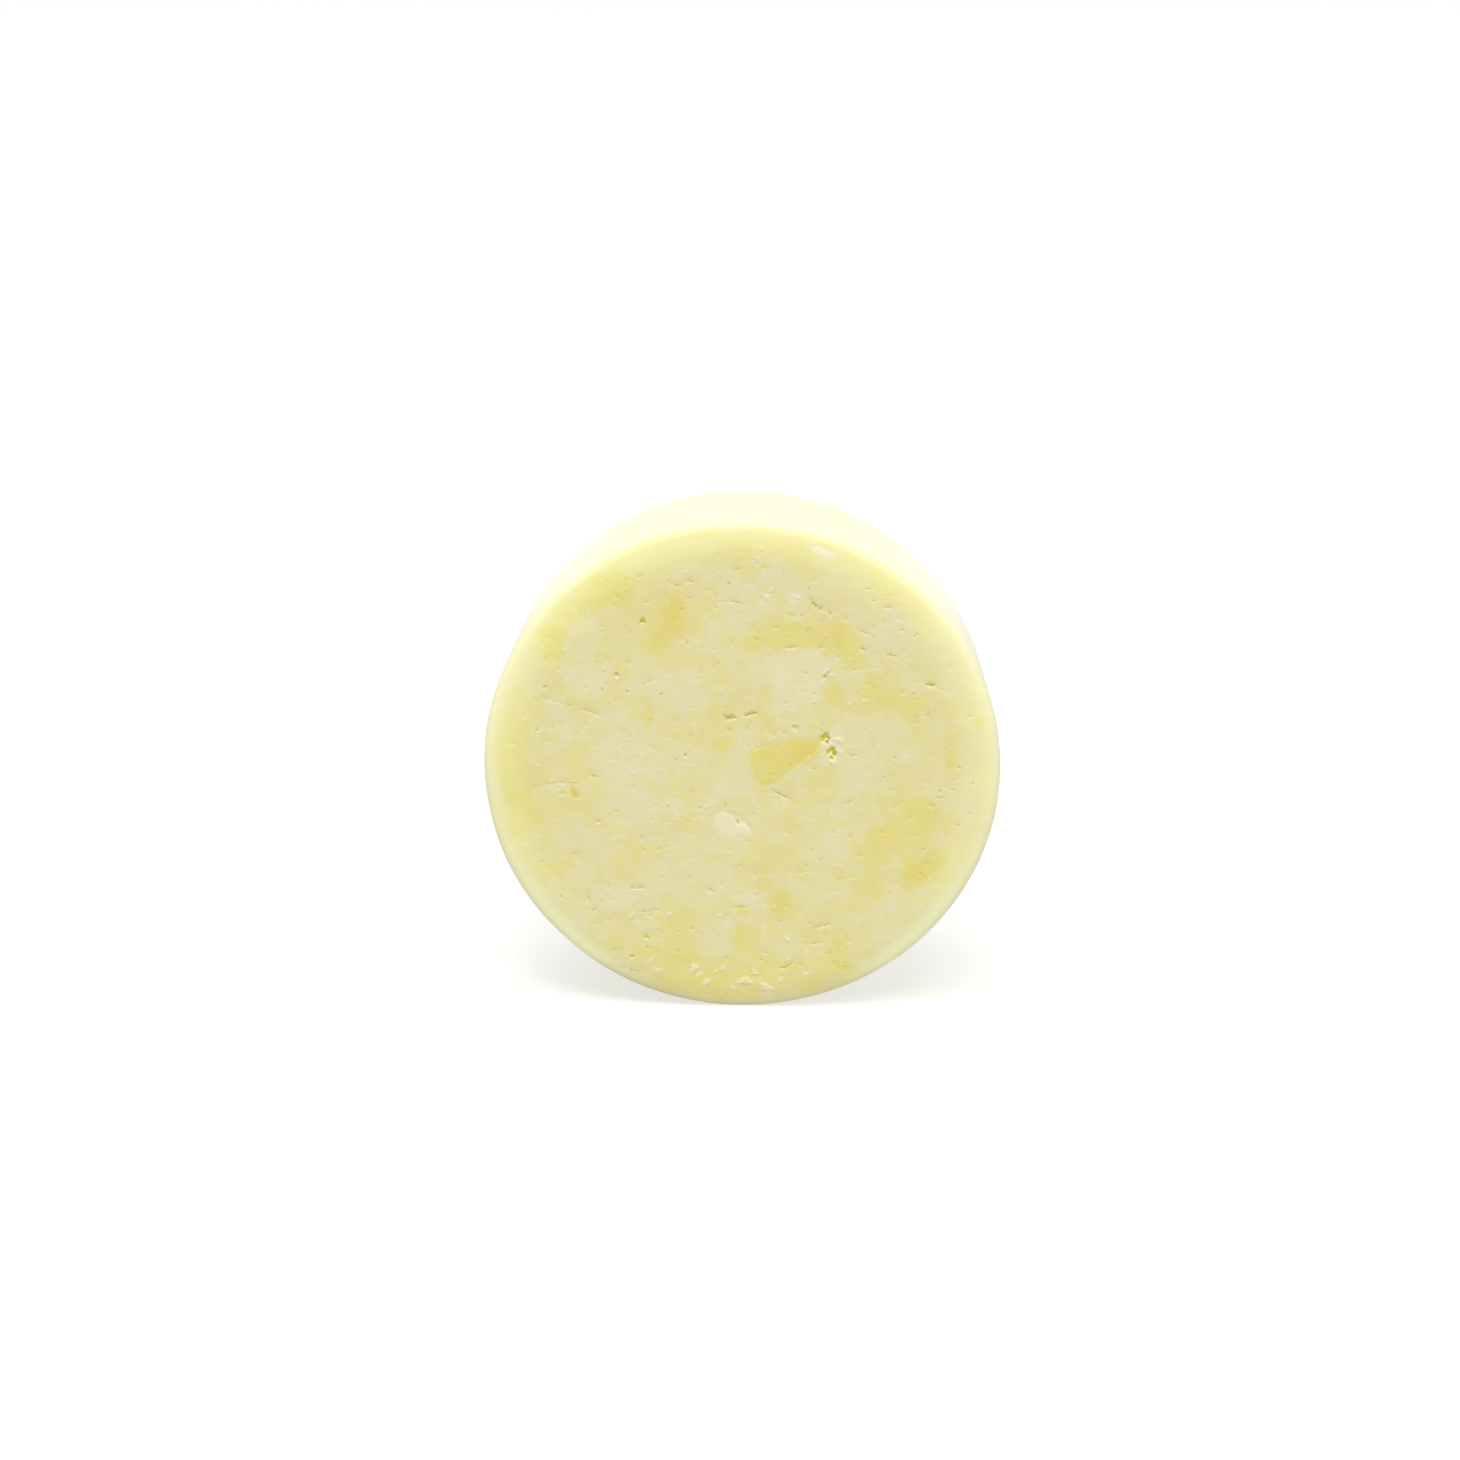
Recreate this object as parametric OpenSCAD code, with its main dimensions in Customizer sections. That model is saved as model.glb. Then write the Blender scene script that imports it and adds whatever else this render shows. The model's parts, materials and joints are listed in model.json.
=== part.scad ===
// Shaving soap puck, hand milled and pressed in a round mould.
// A pale soap paste binds harder chips: clear amber soap and chalky ivory soap.
// The cut face shows the chips in section, each seated in its own pocket in the paste.
// The puck stands on its rim: its axis lies along Y, the cut face looks along -Y,
// and the floor is Z = 0 under the middle of the puck.

/* [Puck] */
// Diameter of the puck, as it leaves its mould
puck_d = 70; // [64:1:76]
// Thickness of the puck, from cut face to back face
puck_t = 20; // [18:0.5:26]
// Radius of the rounded front and back edges
edge_r = 1.2; // [0.6:0.1:1.4]
// Width of the flat that the rim stands on
foot_w = 8; // [4:0.5:12]

/* [Chips] */
// Depth of a thick chip below its face
thick = 5; // [4:0.5:7]
// Depth of a middling chip below its face
middling = 3; // [2:0.5:4]
// Depth of a flake or crumb below its face
thin = 1.4; // [1:0.1:2]
// Passes of corner cutting that round each chip's outline
corner_passes = 2; // [1:1:2]

/* [Hidden] */
// Face at which the chip outlines below are drawn to scale
drawn_d = 70;
face_scale = puck_d / drawn_d;
puck_r = puck_d / 2;
foot_rise = puck_r - sqrt(pow(puck_r, 2) - pow(foot_w / 2, 2));
centre_z = puck_r - foot_rise;
cut_face = puck_t / 2;
back_face = -puck_t / 2;
paste_colour = [0.90, 0.86, 0.65];
amber_colour = [0.86, 0.79, 0.46];
ivory_colour = [0.94, 0.92, 0.82];
// How far a pocket's cutter runs past the face
proud = 1;

// Every chip of the cut face: name, depth and outline.
// Outlines are in mm from the middle of the face: X to the right, Y up, on the 70 mm puck.
AMBER = [
    ["amber_wedge_chip", thick, [
        [1.1, 1.9], [1, 3.6], [3.4, 4.3], [6.2, 5.2], [9.2, 5.8], [10.4, 5.2], [10, 3.8], [7.8, 2],
        [5.8, 0.3], [4.6, -1.1], [2.7, -1.5], [2.1, 0]]],
    ["amber_arc_chip", thick, [
        [1, 17], [1.2, 19.6], [4.5, 20.3], [6.5, 21.8], [10, 22.4], [13, 21.8], [15, 20.6],
        [15.8, 18], [15, 15.8], [14, 16], [13.4, 18], [10, 18.2], [6.5, 18.2], [4, 18.8], [2.5, 17]]],
    ["amber_upper_left_chip", thick, [
        [-12, 18.2], [-10.7, 21], [-10.5, 23.5], [-8.2, 24.6], [-6.6, 23], [-7.4, 20.4],
        [-9.6, 19.8], [-10.4, 18]]],
    ["amber_right_chip", middling, [
        [16.2, 14.6], [18.5, 13.7], [21, 11.6], [24.8, 10.8], [25, 8.8], [22.6, 8.2], [20, 10],
        [17, 11.4], [16, 12.6]]],
    ["amber_block_chip", middling, [
        [10.9, 13.5], [13, 13.9], [13.3, 10.6], [11, 10.2]]],
    ["amber_streak_chip", thick, [
        [21.8, -15.2], [22.2, -13.2], [24, -12.1], [26, -11.8], [27.8, -11.2], [27.6, -12.8],
        [25.6, -14.4], [23.8, -15.4], [22.8, -16.8]]],
    ["amber_cloud_chip", middling, [
        [16.8, -9], [19, -7.6], [20, -5.4], [24.5, -3.4], [26.8, -3.6], [26.2, -7.5],
        [23.4, -9.4], [20, -9.8], [18.6, -12.6], [17, -12.2]]],
    ["amber_lower_chip", middling, [
        [3.2, -17.5], [4.6, -16.2], [6.7, -17], [7.2, -19.4], [5.8, -21.4], [4.5, -20.6]]],
    ["amber_lower_small_chip", thin, [
        [-1.2, -22.8], [0.5, -22], [2.4, -22.6], [2.2, -24.6], [-0.4, -24.8]]],
    ["amber_bottom_chip", middling, [
        [-10.4, -28.2], [-9.6, -25.6], [-6.6, -26], [-4.8, -27.5], [-5.4, -29.6], [-8, -30]]],
    ["amber_left_chip", middling, [
        [-27, 18.6], [-25.3, 19.6], [-24.4, 18.3], [-23.4, 16.8], [-24.2, 15.5], [-25.3, 16.8],
        [-25.5, 18]]],
    ["amber_crown_chip", middling, [
        [-18.6, 26.2], [-17.2, 27.6], [-15, 27.2], [-14.4, 25.6], [-16.4, 24.6]]],
    ["amber_middle_chip", thin, [
        [-3.6, 4.4], [-1.8, 5.3], [-0.4, 4.5], [-1.2, 3.4], [-2.9, 3.4]]],
    ["amber_spot_chip", thin, [
        [-23.3, -1.5], [-22.6, -1.5], [-22, -3], [-22.5, -3.6], [-23.1, -2.8]]],
    ["amber_corner_chip", thin, [
        [12.3, -13.7], [13.5, -13.5], [14.4, -15.2], [13, -15.4]]],
    ["amber_rim_chip", middling, [
        [31, 7.6], [31.5, 8.9], [32.4, 8.7], [32.3, 7.4]]],
    ["amber_sliver_chip", thin, [
        [27.3, 3.7], [28.5, 3.7], [28.7, 1.2], [27.5, 1.3]]],
];

IVORY = [
    ["ivory_block_chip", thick, [
        [4.5, 15.6], [6.4, 17.5], [9.5, 17.5], [12.8, 17.2], [12.9, 14.9], [10.3, 14.1],
        [10.2, 9.8], [8, 8.6], [4.8, 9.4], [3.8, 11.4], [4.6, 13.2]]],
    ["ivory_middle_chip", middling, [
        [-5.6, -4.4], [-5, -1.5], [-2.8, 1.2], [-0.2, 1.6], [1.6, -1.8], [3.2, -4.8],
        [2.8, -7], [1.5, -6.2], [-1, -4.4], [-3.4, -4]]],
    ["ivory_middle_flake", thin, [
        [-4, -6.4], [-3.2, -5], [-1.2, -5.4], [1, -7.1], [1.8, -8.4], [-0.6, -9], [-3.2, -8.4]]],
    ["ivory_left_chip", middling, [
        [-23.6, 12.2], [-21.4, 11.3], [-18.4, 11.5], [-16.8, 13.4], [-17.6, 15.5], [-20.4, 15.1],
        [-22.4, 14]]],
    ["ivory_lower_left_chip", middling, [
        [-25.1, 7.6], [-23.4, 8.5], [-21.4, 7.7], [-21.8, 5.1], [-24, 4.2], [-25.1, 5.4]]],
    ["ivory_upper_chip", middling, [
        [-10.5, 12.6], [-9.6, 15], [-7, 15], [-5.2, 12.9], [-4.9, 10.6], [-7.4, 9.8],
        [-9.9, 10.4]]],
    ["ivory_broad_chip", thick, [
        [-18.9, 2.6], [-18.8, 7.2], [-16, 8.6], [-13.4, 6.4], [-11.2, 5], [-10.2, 1.4],
        [-11.6, -3.4], [-13.4, -8.4], [-16.6, -8.9], [-18.6, -4]]],
    ["ivory_bar_chip", middling, [
        [-20.2, -18.6], [-18.4, -17.2], [-15, -16.7], [-11.6, -17], [-10.2, -18.4],
        [-11.6, -19.7], [-15.2, -20.1], [-18.6, -20.1]]],
    ["ivory_lower_chip", middling, [
        [-1.7, -17.6], [0.2, -16.7], [2, -17.3], [2.7, -18.8], [1.2, -19.9], [-0.9, -19.5]]],
    ["ivory_upper_right_chip", middling, [
        [18.2, 19.4], [18.7, 21.7], [21, 22.3], [23.1, 21.1], [23.3, 18.7], [20.8, 17.9]]],
    ["ivory_right_chip", middling, [
        [17, 3.4], [17.5, 6.1], [20, 6.7], [21.7, 5.1], [21.3, 2.5], [19, 1.9]]],
    ["ivory_top_flake", thin, [
        [8.7, 31.5], [9.7, 32.1], [11.3, 31.4], [12.8, 30.3], [11.2, 30.1], [9.6, 30.8]]],
    ["ivory_crumbly_chip", thin, [
        [10.6, 5.6], [12.2, 6.6], [13.6, 5.2], [13.8, 2.6], [12.2, 1.6], [10.9, 2.8]]],
    ["ivory_lower_right_chip", middling, [
        [13.2, -7.6], [15.6, -6.3], [16.3, -8], [15.7, -10.4], [13.6, -11], [12.7, -9.4]]],
    ["ivory_left_sliver", thin, [
        [-28.6, -2.3], [-26.2, -1.3], [-23.7, -1.1], [-23.8, -2], [-26.4, -2.1], [-28, -3]]],
    ["ivory_side_chip", thin, [
        [16.3, 15.7], [16.8, 17.4], [18.1, 17.3], [18.5, 15.8], [17.4, 15.1]]],
];

// Crumbs of the cut face: X, Y, length, width and turn in degrees.
AMBER_CRUMBS = [
    [-12.9, -23.8, 1.4, 1, 20], [-18.4, -27.6, 2, 1.1, -50], [13.9, -25.6, 1.7, 1, -10],
    [14.2, -28.2, 3, 1.3, -15], [1.9, -29.6, 2.2, 1.1, 10], [1.9, -32.4, 1.3, 0.9, 0],
    [-3.9, -32.6, 1.5, 0.8, 5], [4.4, 6.6, 1.6, 1.1, 60], [-12.4, 8.2, 2.8, 1, 88],
    [-20.9, 23.4, 2.4, 1.4, 70],
];
IVORY_CRUMBS = [
    [3.4, 24.9, 1.9, 1.2, 25], [6.8, 25.1, 1.5, 0.9, 80], [1.9, 29.7, 1.6, 0.7, 10],
    [-13.3, -21, 2.4, 0.8, 5], [3, -22.6, 2.6, 1, 75], [3.9, -32.4, 1.5, 0.9, 30],
    [0.5, -31, 1.1, 0.7, 80], [-1.9, -21.4, 1.8, 0.8, 80],
    [5.8, -3.6, 2.8, 1, -12], [6.9, -14.1, 1.5, 0.8, 5], [21.4, -4.1, 2.2, 0.6, 22],
    [-26.4, 12.6, 1.3, 0.8, 40],
];

// Chips of the back face, as seen through the puck from the front, in the same terms.
BACK_AMBER = [
    [-17, 14, 9, 4, 25], [8, -9, 10, 5, -35], [19, 17, 7, 3.4, 60], [-6, -22, 8, 3.6, 10],
    [-24, -8, 5, 3, 80], [2, 25, 6, 3, -15],
];
BACK_IVORY = [
    [3, 8, 9, 6, 40], [-14, -10, 8, 5, -20], [20, -19, 6, 4, 15], [-8, 22, 5, 3, 70],
    [24, 4, 6, 4, -60], [-20, 2, 5, 3, 30],
];

// One pass of corner cutting: each corner is replaced by a point on each side of it.
function cut_corners(outline) = [
    for (i = [0 : len(outline) - 1], along = [0.25, 0.75])
        outline[i] * (1 - along) + outline[(i + 1) % len(outline)] * along
];
function rounded(outline, passes) =
    passes == 0 ? outline : rounded(cut_corners(outline), passes - 1);

// A broken lump's outline: an uneven ring of eight corners.
LUMP = [1, 0.84, 0.98, 0.78, 1.04, 0.86, 0.94, 0.8];
function lump(row) = [
    for (i = [0 : len(LUMP) - 1])
        let (
            turn = i * 360 / len(LUMP),
            x = cos(turn) * LUMP[i] * row[2] / 2,
            y = sin(turn) * LUMP[i] * row[3] / 2
        )
        [row[0] + x * cos(row[4]) - y * sin(row[4]), row[1] + x * sin(row[4]) + y * cos(row[4])]
];

// Turns what is drawn lying down, with its axis along Z, up on to its rim.
module standing() {
    translate([0, 0, centre_z]) rotate([90, 0, 0]) children();
}

// Half of the puck's section: a rectangle with its two outer corners rounded.
module half_section() {
    translate([0, back_face]) square([puck_r - edge_r, puck_t]);
    translate([0, back_face + edge_r]) square([puck_r, puck_t - 2 * edge_r]);
    for (side = [-1, 1]) {
        translate([puck_r - edge_r, side * (cut_face - edge_r)]) circle(r = edge_r, $fn = 48);
    }
}

module moulded_puck() {
    difference() {
        rotate_extrude($fn = 180) half_section();
        translate([-puck_d, -puck_d - centre_z, -puck_t]) cube([2 * puck_d, puck_d, 2 * puck_t]);
    }
}

// A chip's solid, from its face down to its depth; a cutter also runs proud of the face.
module front_prism(outline, depth, past = 0) {
    translate([0, 0, cut_face - depth])
        linear_extrude(depth + past) polygon(face_scale * rounded(outline, corner_passes));
}

module back_prism(outline, depth, past = 0) {
    translate([0, 0, back_face - past])
        linear_extrude(depth + past) polygon(face_scale * rounded(outline, corner_passes));
}

module crumbs(rows, past = 0) {
    for (row = rows) front_prism(lump(row), thin, past);
}

module back_chips(rows, past = 0) {
    for (row = rows) back_prism(lump(row), middling, past);
}

module soap_paste() {
    color(paste_colour) standing() difference() {
        moulded_puck();
        for (row = concat(AMBER, IVORY)) front_prism(row[2], row[1], proud);
        crumbs(concat(AMBER_CRUMBS, IVORY_CRUMBS), proud);
        back_chips(concat(BACK_AMBER, BACK_IVORY), proud);
    }
}

module amber_chip(row) {
    color(amber_colour) standing() front_prism(row[2], row[1]);
}

module ivory_chip(row) {
    color(ivory_colour) standing() front_prism(row[2], row[1]);
}

module amber_crumbs() {
    color(amber_colour) standing() crumbs(AMBER_CRUMBS);
}

module ivory_crumbs() {
    color(ivory_colour) standing() crumbs(IVORY_CRUMBS);
}

module back_amber_chips() {
    color(amber_colour) standing() back_chips(BACK_AMBER);
}

module back_ivory_chips() {
    color(ivory_colour) standing() back_chips(BACK_IVORY);
}

soap_paste();
for (row = AMBER) amber_chip(row);
for (row = IVORY) ivory_chip(row);
amber_crumbs();
ivory_crumbs();
back_amber_chips();
back_ivory_chips();
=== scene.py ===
"""Looks of the shaving soap puck: one skin of fine mesh, split into the paste and its chips."""
import json
import math

import bpy
import numpy as np
from mathutils import Euler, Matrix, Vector
from mathutils.geometry import delaunay_2d_cdt


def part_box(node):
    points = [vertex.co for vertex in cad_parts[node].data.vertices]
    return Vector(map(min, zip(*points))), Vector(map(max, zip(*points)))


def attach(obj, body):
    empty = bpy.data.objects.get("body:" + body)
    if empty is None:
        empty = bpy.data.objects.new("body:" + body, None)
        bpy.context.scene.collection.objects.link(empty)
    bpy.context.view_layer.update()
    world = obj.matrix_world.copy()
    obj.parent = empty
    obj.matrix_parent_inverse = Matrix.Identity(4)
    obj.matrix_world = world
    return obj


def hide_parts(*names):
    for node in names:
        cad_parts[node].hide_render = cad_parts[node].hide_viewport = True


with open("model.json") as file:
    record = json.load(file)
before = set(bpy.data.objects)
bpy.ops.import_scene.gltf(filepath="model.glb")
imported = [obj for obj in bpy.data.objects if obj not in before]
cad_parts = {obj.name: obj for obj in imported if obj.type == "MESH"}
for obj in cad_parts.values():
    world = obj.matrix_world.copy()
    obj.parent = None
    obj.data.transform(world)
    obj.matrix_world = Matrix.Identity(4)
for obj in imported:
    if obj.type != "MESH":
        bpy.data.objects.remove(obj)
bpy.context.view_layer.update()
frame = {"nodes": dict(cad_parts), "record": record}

# ---------------------------------------------------------------- sizes, in mm unless they say so
MM = 0.001
paste_low, paste_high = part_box("soap_paste")
PUCK_R = (paste_high.x - paste_low.x) / 2 / MM
HALF_T = (paste_high.y - paste_low.y) / 2 / MM
CENTRE_Z = paste_high.z / MM - PUCK_R
# A face is flat inside SHOULDER_R and bends back by SHOULDER_DROP towards FLAT_R. Its rounded edge
# goes on from there to PUCK_R, EDGE_DROP behind the face. The pull and the lift shape that edge.
FLAT_R = PUCK_R - 1.2
SHOULDER_R = PUCK_R - 4.2
SHOULDER_DROP = 0.34
EDGE_DROP = 1.7
EDGE_PULL = 0.55
EDGE_LIFT = 0.8

# Distances between mesh points: on the two faces, near a mark and along a chip's outline.
FRONT_STEP = 0.34
BACK_STEP = 0.62
FINE_STEP = 0.15
OUTLINE_STEP = 0.22
# Numbers of mesh points: round the rim, across a rounded edge and across the side.
RING_COUNT = 640
EDGE_STEPS = 7
WALL_STEPS = 30
# How finely the corners of a CAD face are matched, and how near to its plane they lie.
PLACE_DIGITS = 4
PLANE_SLACK = 1e-3


# ---------------------------------------------------------------- small maths
def smooth(low, high, value):
    """A soft step from 0 at low to 1 at high; low may be the larger of the two."""
    t = np.clip((value - low) / (high - low), 0, 1)
    return t * t * (3 - 2 * t)


def value_noise(points, size, seed, stretch=(1, 1, 1)):
    """Smooth random field from 0 to 1 whose blobs are about size mm wide; points is n x 3, in mm.
    Each seed has its own values and moves the grid that they lie on."""
    cells = points / (size * np.array(stretch)) + 0.37 * seed
    low = np.floor(cells).astype(int)
    part = cells - low
    part = part * part * (3 - 2 * part)
    low -= low.min(0)
    lattice = np.random.default_rng(seed).random(tuple(low.max(0) + 2))
    total = np.zeros(len(points))
    for corner in np.ndindex(2, 2, 2):
        weight = np.prod(np.where(corner, part, 1 - part), axis=1)
        at = low + corner
        total += weight * lattice[at[:, 0], at[:, 1], at[:, 2]]
    return total


def noise_pair(points, size, seed):
    """Two smooth random fields from -0.5 to 0.5, which push points about in the face."""
    return np.stack([value_noise(points, size, seed), value_noise(points, size, seed + 1)], 1) - 0.5


def turned(away, angle):
    """The parts of 2-D offsets along and across a direction."""
    along = away[:, 0] * math.cos(angle) + away[:, 1] * math.sin(angle)
    across = away[:, 1] * math.cos(angle) - away[:, 0] * math.sin(angle)
    return along, across


def covered(under, over):
    """Two amounts from 0 to 1 that lie over each other."""
    return 1 - (1 - under) * (1 - over)


def inside_distance(points, ring):
    """Distance in mm from each 2-D point to the ring, positive inside it."""
    best = np.full(len(points), np.inf)
    inside = np.zeros(len(points), bool)
    for start, end in zip(ring, np.roll(ring, -1, axis=0)):
        along = end - start
        away = points - start
        t = np.clip(away @ along / (along @ along), 0, 1)
        best = np.minimum(best, ((away - t[:, None] * along) ** 2).sum(1))
        crosses = (start[1] > points[:, 1]) != (end[1] > points[:, 1])
        if crosses.any():
            at_x = start[0] + (points[:, 1] - start[1]) * along[0] / (along[1] or 1e-9)
            inside ^= crosses & (points[:, 0] < at_x)
    return np.where(inside, 1, -1) * np.sqrt(best)


def near_box(points, ring, reach):
    """True for 2-D points less than reach outside the ring's box."""
    return ((points > ring.min(0) - reach) & (points < ring.max(0) + reach)).all(1)


# ---------------------------------------------------------------- chip outlines, read from the CAD nodes
def face_rings(node, face_y):
    """The closed outlines of a node's flat faces at y = face_y, in mm from the puck's middle."""
    mesh = frame["nodes"][node].data
    mesh.calc_loop_triangles()
    edges = {}
    spot = []
    for v in mesh.vertices:
        place = (round(v.co.x / MM, PLACE_DIGITS), round(v.co.z / MM - CENTRE_Z, PLACE_DIGITS))
        spot.append(place if abs(v.co.y / MM - face_y) < PLANE_SLACK else None)
    for triangle in mesh.loop_triangles:
        places = [spot[i] for i in triangle.vertices]
        if None not in places:
            for a, b in zip(places, places[1:] + places[:1]):
                edges[(a, b)] = True
    follow = {a: b for a, b in edges if (b, a) not in edges}
    rings = []
    while follow:
        ring = [min(follow)]
        while ring[-1] in follow:
            ring.append(follow.pop(ring[-1]))
        ring = np.array(ring[:-1])
        area = (ring[:, 0] * np.roll(ring[:, 1], -1) - np.roll(ring[:, 0], -1) * ring[:, 1]).sum()
        rings.append(ring if area > 0 else ring[::-1])
    return sorted(rings, key=lambda r: tuple(r.mean(0)))


def resampled(ring, step):
    """The ring with more points along each of its edges, so that none is longer than step."""
    out = []
    for start, end in zip(ring, np.roll(ring, -1, axis=0)):
        count = max(1, math.ceil(np.linalg.norm(end - start) / step))
        out += [start + (end - start) * k / count for k in range(count)]
    return np.array(out)


CHIP_NODES = sorted(n for n in frame["nodes"] if n != "soap_paste")
FRONT_CHIPS = {n: face_rings(n, -HALF_T) for n in CHIP_NODES if not n.startswith("back_")}
BACK_CHIPS = {n: face_rings(n, HALF_T) for n in CHIP_NODES if n.startswith("back_")}

# How strongly a chip is coloured, over how many mm its border fades,
# and its accent: how orange an amber chip is, or how white an ivory one.
DEFAULT_LOOK = (0.6, 0.9, 0)
LOOKS = {
    "amber_wedge_chip": (1.0, 0.35, 0.15),
    "amber_arc_chip": (0.8, 1.0, 0),
    "amber_upper_left_chip": (1.0, 1.3, 0.3),
    "amber_right_chip": (0.75, 0.9, 0),
    "amber_block_chip": (0.85, 0.6, 0.2),
    "amber_streak_chip": (0.9, 0.7, 0.3),
    "amber_cloud_chip": (0.6, 1.6, 0),
    "amber_lower_chip": (0.65, 1.0, 0.2),
    "amber_lower_small_chip": (0.6, 1.0, 0),
    "amber_bottom_chip": (0.5, 1.8, 0),
    "amber_left_chip": (0.9, 0.5, 0),
    "amber_crown_chip": (0.8, 1.5, 0),
    "amber_middle_chip": (0.6, 0.8, 0),
    "amber_spot_chip": (1.0, 0.25, 1.0),
    "amber_corner_chip": (0.6, 0.4, 0),
    "amber_rim_chip": (0.9, 0.4, 0),
    "amber_sliver_chip": (0.6, 0.5, 0),
    "amber_crumbs": (0.8, 0.4, 0),
    "ivory_block_chip": (0.9, 0.9, 0.1),
    "ivory_middle_chip": (0.55, 1.0, 0),
    "ivory_middle_flake": (1.0, 0.15, 0.4),
    "ivory_left_chip": (0.8, 1.2, 0.1),
    "ivory_lower_left_chip": (0.6, 1.2, 0),
    "ivory_upper_chip": (0.6, 1.3, 0),
    "ivory_broad_chip": (0.6, 2.0, 0),
    "ivory_bar_chip": (0.6, 0.8, 0),
    "ivory_lower_chip": (0.7, 0.6, 0.3),
    "ivory_upper_right_chip": (0.6, 1.2, 0),
    "ivory_right_chip": (0.5, 1.2, 0),
    "ivory_lower_right_chip": (0.6, 0.9, 0),
    "ivory_top_flake": (1.0, 0.2, 1),
    "ivory_crumbly_chip": (0.7, 0.6, 0.4),
    "ivory_left_sliver": (0.8, 0.2, 0.5),
    "ivory_side_chip": (0.7, 0.5, 0),
    "ivory_crumbs": (0.8, 0.3, 0.3),
}
# Amber that has bled into the paste, and paler paste: x, z, half length, half width, turn, strength.
AMBER_BLEED = [
    (-16, 26, 4.2, 2.6, 20, 0.85),
    (-9, 22, 3.2, 3.6, 0, 0.6),
    (-12, 18.6, 2.8, 2.6, 40, 0.5),
    (-25, 20, 2.2, 1.6, 0, 1.0),
    (-25.4, 17, 1.6, 1.6, 0, 1.0),
    (-31, 4, 2.2, 8.5, -5, 0.55),
    (-29, -5, 2.8, 4.5, -15, 0.6),
    (-26.5, -12, 3.0, 4.5, 25, 0.35),
    (-15.6, 15, 1.0, 2.4, -12, 0.45),
    (-22, 25, 5, 3, 45, 0.45),
    (8.4, 20, 8.5, 2.4, 3, 0.35),
    (15.1, 17, 1.6, 2.6, 30, 0.45),
    (19.9, 10.3, 5.6, 2.2, -25, 0.45),
    (-1.4, 4.9, 1.8, 1.0, 0, 0.4),
    (27.7, 2.8, 0.8, 1.8, 0, 0.3),
    (32.2, 8.4, 1.0, 1.2, 0, 0.7),
    (23, -6.6, 4.6, 3.4, 20, 0.5),
    (18.4, -10.2, 2.4, 3.2, 20, 0.3),
    (25.2, -13.6, 3.6, 2.2, 30, 0.45),
    (5.9, -18.7, 2.4, 2.4, 0, 0.4),
    (0.2, -24.2, 2.4, 1.6, 0, 0.5),
    (-10, -27.5, 7, 2.8, -12, 0.4),
    # This band along the foot is partly amber and partly painted shade: it makes the face darker and
    # yellower low down, where less light falls.
    (2.3, -30, 13, 3.4, 0, 0.6),
    (14, -27, 2.2, 3.0, 0, 0.45),
    (-19.3, -26.7, 3.0, 1.4, -40, 0.5),
    (17.3, -16.5, 3.4, 2.4, 0, 0.35),
    (4, 31.5, 12, 1.6, -6, 0.35),
    (20, 26, 7, 1.6, -40, 0.35),
    (-4, -31.5, 9, 2, 4, 0.3),
    (-26.3, 18.8, 1.0, 0.6, 10, 1.0),
    (-24.7, 20.9, 1.1, 0.8, 0, 0.9),
    (-25.1, 16.7, 0.8, 0.7, 0, 0.9),
    (-17.3, 26.0, 2.6, 2.0, 0, 0.8),
    (-30.6, -3.2, 1.6, 3.0, 10, 0.4),
    (-12.8, -21.5, 0.8, 0.5, 0, 0.9),
    (-9.7, -21.5, 1.3, 0.9, 0, 0.6),
    (-0.2, -20.0, 1.0, 0.8, 0, 0.6),
    (-17.1, -25.5, 1.5, 0.8, -30, 0.8),
    (-10.1, -23.8, 1.5, 1.2, 0, 0.5),
    (2.3, 11.1, 0.9, 0.7, 0, 0.6),
    (4.3, 7.1, 0.9, 0.8, 0, 0.6),
    (-2.3, 4.7, 0.8, 0.7, 0, 0.7),
    (32.0, 7.9, 0.8, 1.1, 0, 0.9),
    (22.4, -12.9, 0.8, 1.5, -10, 0.9),
    (26.1, -11.2, 1.4, 0.8, 20, 0.8),
    (3.1, -15.6, 0.8, 0.7, 0, 0.5),
    (5.1, -17.1, 2.0, 1.4, 0, 0.45),
    (13.4, -22.9, 0.9, 0.6, 0, 0.8),
    (12.9, -25.2, 1.6, 0.7, 0, 0.8),
    (1.4, -26.5, 1.1, 0.8, 0, 0.7),
    (1.4, -22.9, 0.8, 0.8, 0, 0.6),
    (-13.0, 9.2, 0.6, 2.0, 0, 0.4),
    (9.2, 3.7, 1.3, 1.1, 30, 0.9),
    (7.6, 2.6, 1.3, 0.8, 35, 0.7),
]
PALE_CLOUDS = [
    (-21, 14.2, 3.2, 2.8, 0, 0.75),
    (-7.3, 11.6, 4.6, 3.0, 0, 0.6),
    (8.4, 13.4, 5.0, 4.6, 0, 0.5),
    (-14, -1, 5.6, 8.0, 10, 0.5),
    (-2, -4.5, 4.6, 4.6, 0, 0.3),
    (-24, -22, 9, 2.2, -45, 0.6),
    (24, -22, 9, 2.2, 45, 0.6),
    (19.7, 19.8, 5.4, 4.2, -20, 0.6),
    (21.7, 4, 2.6, 3.0, 0, 0.6),
    (-16.6, -18, 5.2, 2.4, 0, 0.65),
    (-2, -15.7, 4.4, 3.8, 0, 0.3),
    (11.6, -13.8, 4.4, 5.0, 0, 0.5),
    (-26, -11, 2.6, 2.4, 0, 0.4),
    (19, -21.3, 3.6, 3.0, 20, 0.5),
    (4.4, 26.6, 5.2, 2.6, 0, 0.55),
    (7.3, 7.3, 3.8, 1.8, 0, 0.5),
    (17, 0.2, 4.4, 3.2, 0, 0.4),
    (-25, 7, 2.8, 4.4, 0, 0.4),
    (27, 15, 2.6, 4.2, 20, 0.35),
    (-2, 21, 4.0, 3.4, 0, 0.35),
    (30.4, -1, 1.8, 8, 0, 0.45),
]
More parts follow.
